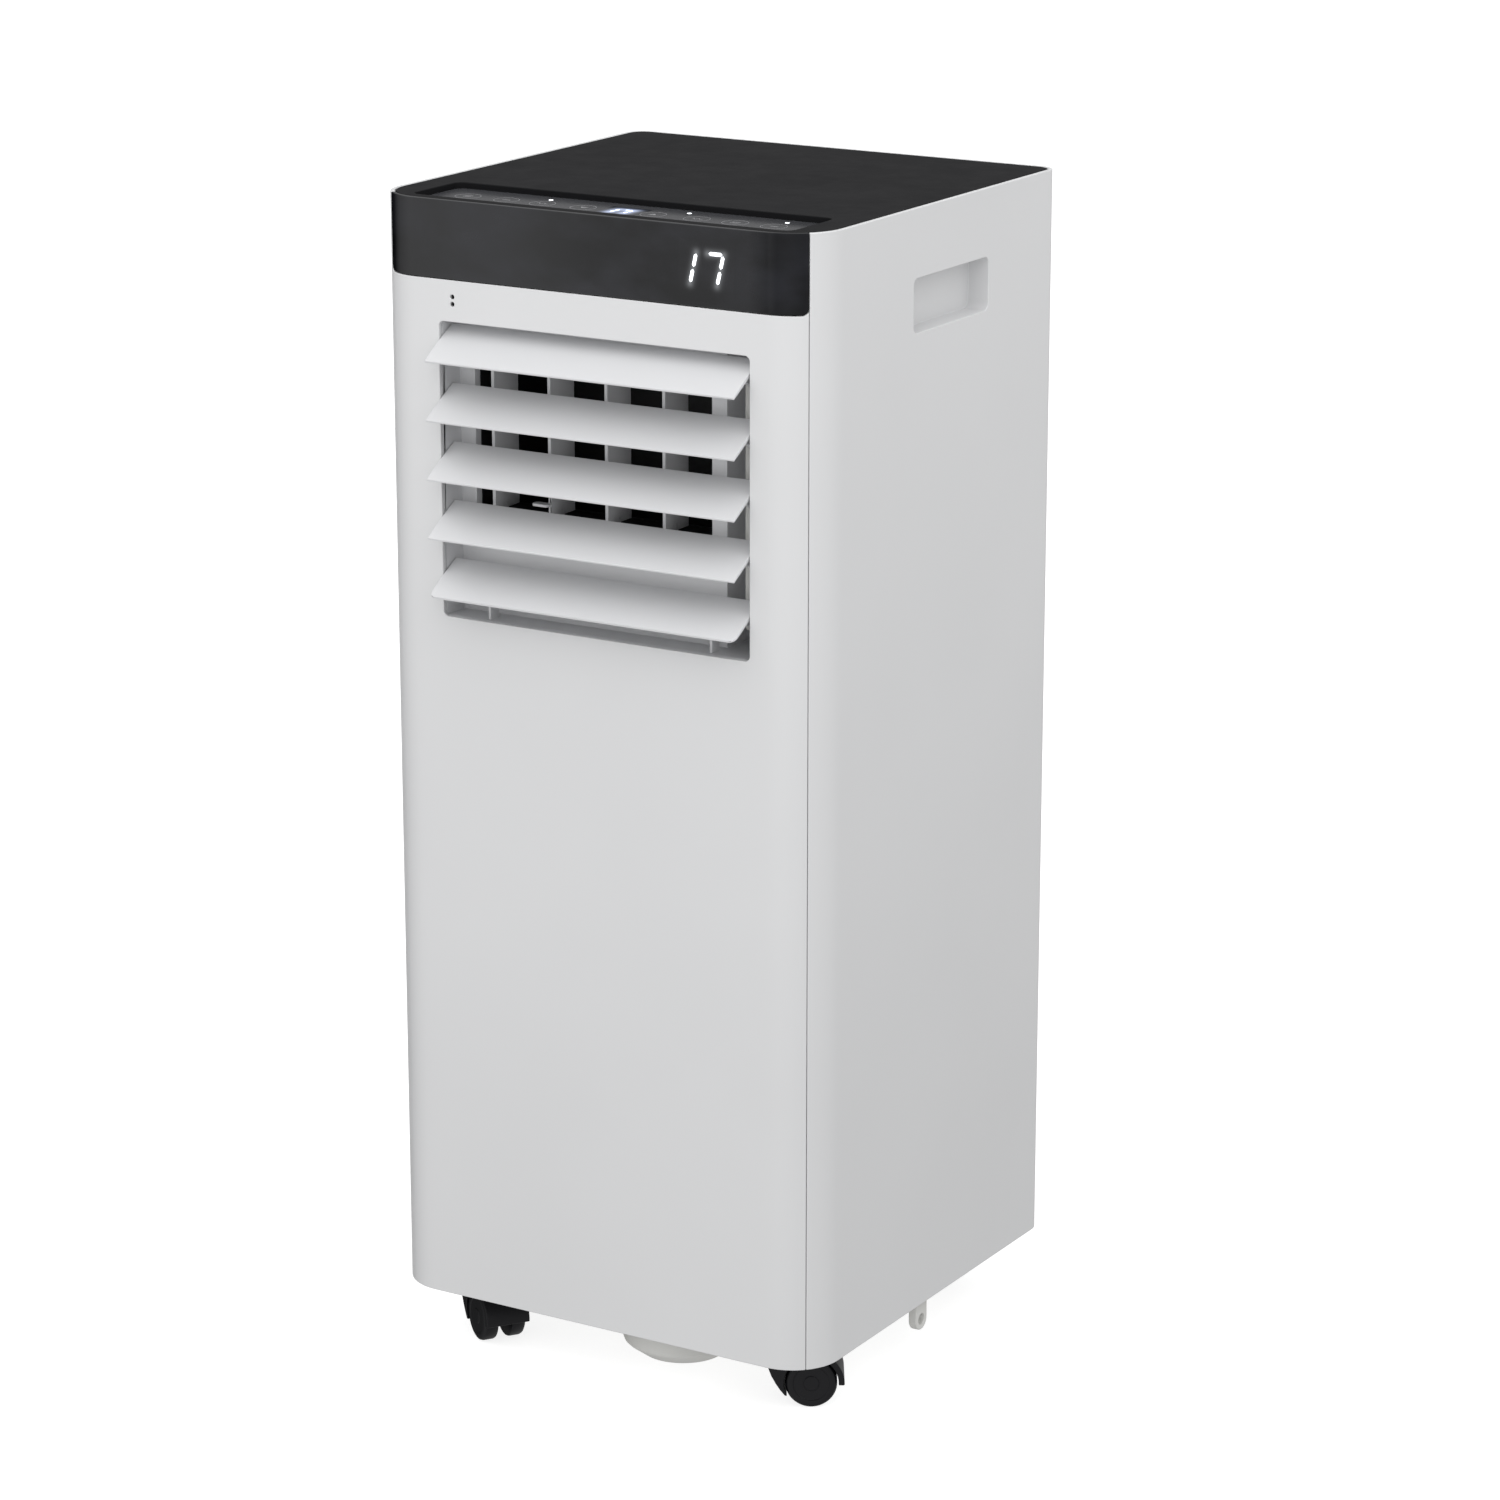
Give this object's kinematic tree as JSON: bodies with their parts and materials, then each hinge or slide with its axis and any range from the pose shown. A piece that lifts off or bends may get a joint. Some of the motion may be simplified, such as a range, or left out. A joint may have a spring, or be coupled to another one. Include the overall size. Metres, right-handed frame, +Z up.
{
  "type": "portable air conditioner",
  "caption": "Upright mobile room cooler on swivel casters with a louvred front air outlet, touch deck, hand recesses and a rear exhaust spigot.",
  "frame": {"origin": "on the floor under the middle of the object", "axes": "+Z up, the front with the air outlet faces -Y, +X to the right of someone facing the same way as +Y"},
  "size_m": [0.284, 0.3052, 0.676],
  "materials": {
    "shell_white": "satin moulded ABS",
    "vane_white": "satin moulded ABS",
    "deck_black": "fine matte texture",
    "band_black": "high gloss",
    "touch_film": "smooth film",
    "caster_black": "satin nylon",
    "inner_grey": "moulded",
    "dark_plastic": "moulded",
    "motor_steel": "zinc plated",
    "coil_aluminium": "finned",
    "pipe_copper": "drawn copper",
    "compressor_black": "satin paint",
    "circuit_green": "solder mask",
    "black_rubber": "matte"
  },
  "bodies": {
    "cabinet": {"front_panel": "shell_white", "side_panel_left": "shell_white", "side_panel_right": "shell_white", "rear_panel": "shell_white", "lower_grille": "shell_white", "outlet_frame": "vane_white", "top_cover": "deck_black", "control_box": "deck_black", "display_band": "band_black", "touch_panel": "touch_film", "base_pan": "inner_grey", "compressor_well": "inner_grey", "lower_scroll": "inner_grey", "drip_tray": "inner_grey", "tie_lug": "inner_grey", "nozzle_duct": "dark_plastic", "upper_scroll": "dark_plastic", "exhaust_collar": "dark_plastic", "swing_motor": "motor_steel", "upper_blower_motor": "motor_steel", "lower_blower_motor": "motor_steel", "splash_motor": "motor_steel", "evaporator_coil": "coil_aluminium", "condenser_coil": "coil_aluminium", "run_capacitor": "coil_aluminium", "discharge_pipe": "pipe_copper", "suction_pipe": "pipe_copper", "capillary_tube": "pipe_copper", "compressor": "compressor_black", "accumulator": "compressor_black", "main_board": "circuit_green", "display_board": "circuit_green", "cord_gland": "black_rubber"},
    "louver_1": {"louver_vane_1": "vane_white"},
    "louver_2": {"louver_vane_2": "vane_white"},
    "louver_3": {"louver_vane_3": "vane_white"},
    "louver_4": {"louver_vane_4": "vane_white"},
    "louver_5": {"louver_vane_5": "vane_white"},
    "louver_link": {"louver_link_bar": "inner_grey"},
    "swing_crank": {"louver_crank": "inner_grey"},
    "fin_1": {"air_fin_1": "vane_white"},
    "fin_2": {"air_fin_2": "vane_white"},
    "fin_3": {"air_fin_3": "vane_white"},
    "fin_4": {"air_fin_4": "vane_white"},
    "fin_link": {"fin_link_bar": "inner_grey"},
    "intake_cover": {"rear_grille": "shell_white", "air_filter": "dark_plastic"},
    "upper_blower": {"upper_blower_wheel": "dark_plastic"},
    "lower_blower": {"lower_blower_wheel": "dark_plastic"},
    "splasher": {"splash_wheel": "inner_grey"},
    "drain_plug": {"drain_plug": "black_rubber"},
    "caster_front_left": {"caster_hood_front_left": "caster_black"},
    "wheel_front_left": {"caster_wheel_front_left": "caster_black"},
    "caster_front_right": {"caster_hood_front_right": "caster_black"},
    "wheel_front_right": {"caster_wheel_front_right": "caster_black"},
    "caster_back_left": {"caster_hood_back_left": "caster_black"},
    "wheel_back_left": {"caster_wheel_back_left": "caster_black"},
    "caster_back_right": {"caster_hood_back_right": "caster_black"},
    "wheel_back_right": {"caster_wheel_back_right": "caster_black"}
  },
  "joints": [
    {"name": "louver_1_tilt", "type": "hinge", "parent": "cabinet", "child": "louver_1", "pos_m": [0, -0.1321, 0.5985], "axis": [-1, 0, 0], "range_deg": [-58.4, 11.6]},
    {"name": "louver_2_tilt", "type": "hinge", "parent": "cabinet", "child": "louver_2", "pos_m": [0, -0.1321, 0.5654], "axis": [-1, 0, 0], "range_deg": [-58.4, 11.6]},
    {"name": "louver_3_tilt", "type": "hinge", "parent": "cabinet", "child": "louver_3", "pos_m": [0, -0.1321, 0.5323], "axis": [-1, 0, 0], "range_deg": [-58.4, 11.6]},
    {"name": "louver_4_tilt", "type": "hinge", "parent": "cabinet", "child": "louver_4", "pos_m": [0, -0.1321, 0.4992], "axis": [-1, 0, 0], "range_deg": [-58.4, 11.6]},
    {"name": "louver_5_tilt", "type": "hinge", "parent": "cabinet", "child": "louver_5", "pos_m": [0, -0.1321, 0.4661], "axis": [-1, 0, 0], "range_deg": [-58.4, 11.6]},
    {"name": "louver_link_pivot", "type": "hinge", "parent": "louver_1", "child": "louver_link", "pos_m": [0.0884, -0.11363, 0.58851], "axis": [-1, 0, 0], "range_deg": [-11.6, 58.4]},
    {"name": "swing_crank_turn", "type": "hinge", "parent": "cabinet", "child": "swing_crank", "pos_m": [0.0975, -0.1195, 0.51575], "axis": [-1, 0, 0], "range_deg": [-58.4, 11.6]},
    {"name": "fin_2_swing", "type": "hinge", "parent": "cabinet", "child": "fin_2", "pos_m": [-0.0387, -0.105, 0.55], "axis": [0, 0, 1], "range_deg": [-35, 35]},
    {"name": "fin_1_swing", "type": "hinge", "parent": "cabinet", "child": "fin_1", "pos_m": [-0.07575, -0.105, 0.55], "axis": [0, 0, 1], "range_deg": [-35, 35]},
    {"name": "fin_3_swing", "type": "hinge", "parent": "cabinet", "child": "fin_3", "pos_m": [-0.0016, -0.105, 0.55], "axis": [0, 0, 1], "range_deg": [-35, 35]},
    {"name": "fin_4_swing", "type": "hinge", "parent": "cabinet", "child": "fin_4", "pos_m": [0.03545, -0.105, 0.55], "axis": [0, 0, 1], "range_deg": [-35, 35]},
    {"name": "fin_link_pivot", "type": "hinge", "parent": "fin_2", "child": "fin_link", "pos_m": [-0.0387, -0.114, 0.5225], "axis": [0, 0, 1], "range_deg": [-35, 35]},
    {"name": "intake_cover_tilt", "type": "hinge", "parent": "cabinet", "child": "intake_cover", "pos_m": [0, 0.13625, 0.4075], "axis": [-1, 0, 0], "range_deg": [0, 30]},
    {"name": "upper_blower_spin", "type": "hinge", "parent": "cabinet", "child": "upper_blower", "pos_m": [0.0025, -0.08, 0.4], "axis": [0, 1, 0], "continuous": true},
    {"name": "lower_blower_spin", "type": "hinge", "parent": "cabinet", "child": "lower_blower", "pos_m": [0, 0.058, 0.232], "axis": [1, 0, 0], "continuous": true},
    {"name": "splasher_spin", "type": "hinge", "parent": "cabinet", "child": "splasher", "pos_m": [-0.096, 0.07, 0.078], "axis": [0, 1, 0], "continuous": true},
    {"name": "drain_plug_pull", "type": "slide", "parent": "cabinet", "child": "drain_plug", "axis": [0, 1, 0], "range_m": [0, 0.03]},
    {"name": "caster_front_left_swivel", "type": "hinge", "parent": "cabinet", "child": "caster_front_left", "pos_m": [-0.102, -0.097, 0.03], "axis": [0, 0, 1], "continuous": true},
    {"name": "wheel_front_left_roll", "type": "hinge", "parent": "caster_front_left", "child": "wheel_front_left", "pos_m": [-0.09053, -0.10503, 0.01475], "axis": [0.5736, 0.8192, 0], "continuous": true},
    {"name": "caster_front_right_swivel", "type": "hinge", "parent": "cabinet", "child": "caster_front_right", "pos_m": [0.102, -0.097, 0.03], "axis": [0, 0, 1], "continuous": true},
    {"name": "wheel_front_right_roll", "type": "hinge", "parent": "caster_front_right", "child": "wheel_front_right", "pos_m": [0.114, -0.08979, 0.01475], "axis": [-0.515, 0.8572, 0], "continuous": true},
    {"name": "caster_back_left_swivel", "type": "hinge", "parent": "cabinet", "child": "caster_back_left", "pos_m": [-0.085, 0.097, 0.03], "axis": [0, 0, 1], "continuous": true},
    {"name": "wheel_back_left_roll", "type": "hinge", "parent": "caster_back_left", "child": "wheel_back_left", "pos_m": [-0.08209, 0.08331, 0.01475], "axis": [0.9781, 0.2079, 0], "continuous": true},
    {"name": "caster_back_right_swivel", "type": "hinge", "parent": "cabinet", "child": "caster_back_right", "pos_m": [0.085, 0.097, 0.03], "axis": [0, 0, 1], "continuous": true},
    {"name": "wheel_back_right_roll", "type": "hinge", "parent": "caster_back_right", "child": "wheel_back_right", "pos_m": [0.07131, 0.09409, 0.01475], "axis": [0.2079, -0.9781, 0], "continuous": true}
  ],
  "couplings": [
    {"joint": "louver_2_tilt", "follows": "louver_1_tilt", "ratio": 1},
    {"joint": "louver_3_tilt", "follows": "louver_1_tilt", "ratio": 1},
    {"joint": "louver_4_tilt", "follows": "louver_1_tilt", "ratio": 1},
    {"joint": "louver_5_tilt", "follows": "louver_1_tilt", "ratio": 1},
    {"joint": "louver_link_pivot", "follows": "louver_1_tilt", "ratio": -1},
    {"joint": "swing_crank_turn", "follows": "louver_1_tilt", "ratio": 1},
    {"joint": "fin_1_swing", "follows": "fin_2_swing", "ratio": 1},
    {"joint": "fin_3_swing", "follows": "fin_2_swing", "ratio": 1},
    {"joint": "fin_4_swing", "follows": "fin_2_swing", "ratio": 1},
    {"joint": "fin_link_pivot", "follows": "fin_2_swing", "ratio": -1}
  ]
}
